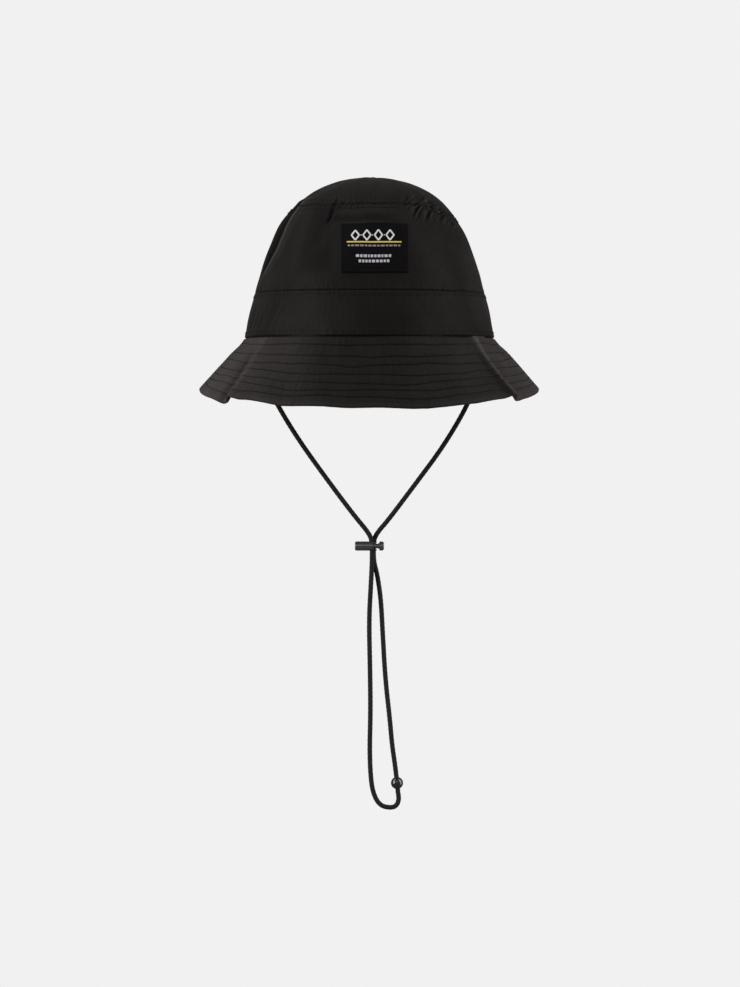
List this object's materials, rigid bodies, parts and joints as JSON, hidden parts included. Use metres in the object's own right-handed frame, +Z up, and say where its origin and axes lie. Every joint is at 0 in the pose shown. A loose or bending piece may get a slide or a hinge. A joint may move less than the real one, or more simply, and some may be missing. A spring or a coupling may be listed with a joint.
{
  "type": "bucket hat",
  "caption": "Dark cloth bucket hat with a domed crown, a stitched drooping brim, a woven front patch and a looped chin cord with a sprung cord lock and a bead.",
  "frame": {"origin": "centre of the head opening, on the seam between crown and brim", "axes": "+Z up through the crown, the front of the hat towards -Y, +X to the right of someone facing its front"},
  "size_m": [0.2546, 0.238, 0.4737],
  "materials": {
    "shell_cloth": "matte fine ripstop weave",
    "interlining": "stiff non-woven",
    "lining": "smooth taffeta",
    "sweatband": "brushed twill",
    "label": "woven damask",
    "care_label": "satin ribbon",
    "webbing": "ribbed tape",
    "cord": "braided round cord",
    "lock_plastic": "satin moulded",
    "bead_plastic": "polished",
    "spring_steel": "bright wire"
  },
  "bodies": {
    "hat": {"crown_tip": "shell_cloth", "upper_side_front": "shell_cloth", "upper_side_back": "shell_cloth", "band_front": "shell_cloth", "band_back": "shell_cloth", "brim_top_front": "shell_cloth", "brim_top_back": "shell_cloth", "brim_interlining_front": "interlining", "brim_interlining_back": "interlining", "brim_under_front": "shell_cloth", "brim_under_back": "shell_cloth", "lining_band": "lining", "lining_side": "lining", "lining_tip": "lining", "sweatband": "sweatband", "front_label": "label", "care_label": "care_label", "cord_tab_left": "webbing", "cord_tab_right": "webbing"},
    "cord": {"chin_cord": "cord"},
    "cord_lock": {"lock_barrel": "lock_plastic", "lock_spring": "spring_steel"},
    "lock_button": {"lock_plunger": "lock_plastic"},
    "bead": {"cord_bead": "bead_plastic"}
  },
  "joints": [
    {"name": "chin_cord_swing", "type": "hinge", "parent": "hat", "child": "cord", "pos_m": [0, 0, -0.007], "axis": [1, 0, 0], "range_deg": [-50, 50]},
    {"name": "cord_lock_slide", "type": "slide", "parent": "cord", "child": "cord_lock", "axis": [0, 0, 1], "range_m": [-0.1, 0.08], "deforming": ["chin_cord"]},
    {"name": "lock_button_press", "type": "slide", "parent": "cord_lock", "child": "lock_button", "axis": [-1, 0, 0], "range_m": [0, 0.0018], "stiffness_N_per_m": 1500, "springref_m": -0.001, "deforming": ["lock_spring"]},
    {"name": "bead_slide", "type": "slide", "parent": "cord", "child": "bead", "axis": [-0.0984, 0.0058, 0.9951], "range_m": [-0.003, 0.022], "deforming": ["chin_cord"]}
  ]
}
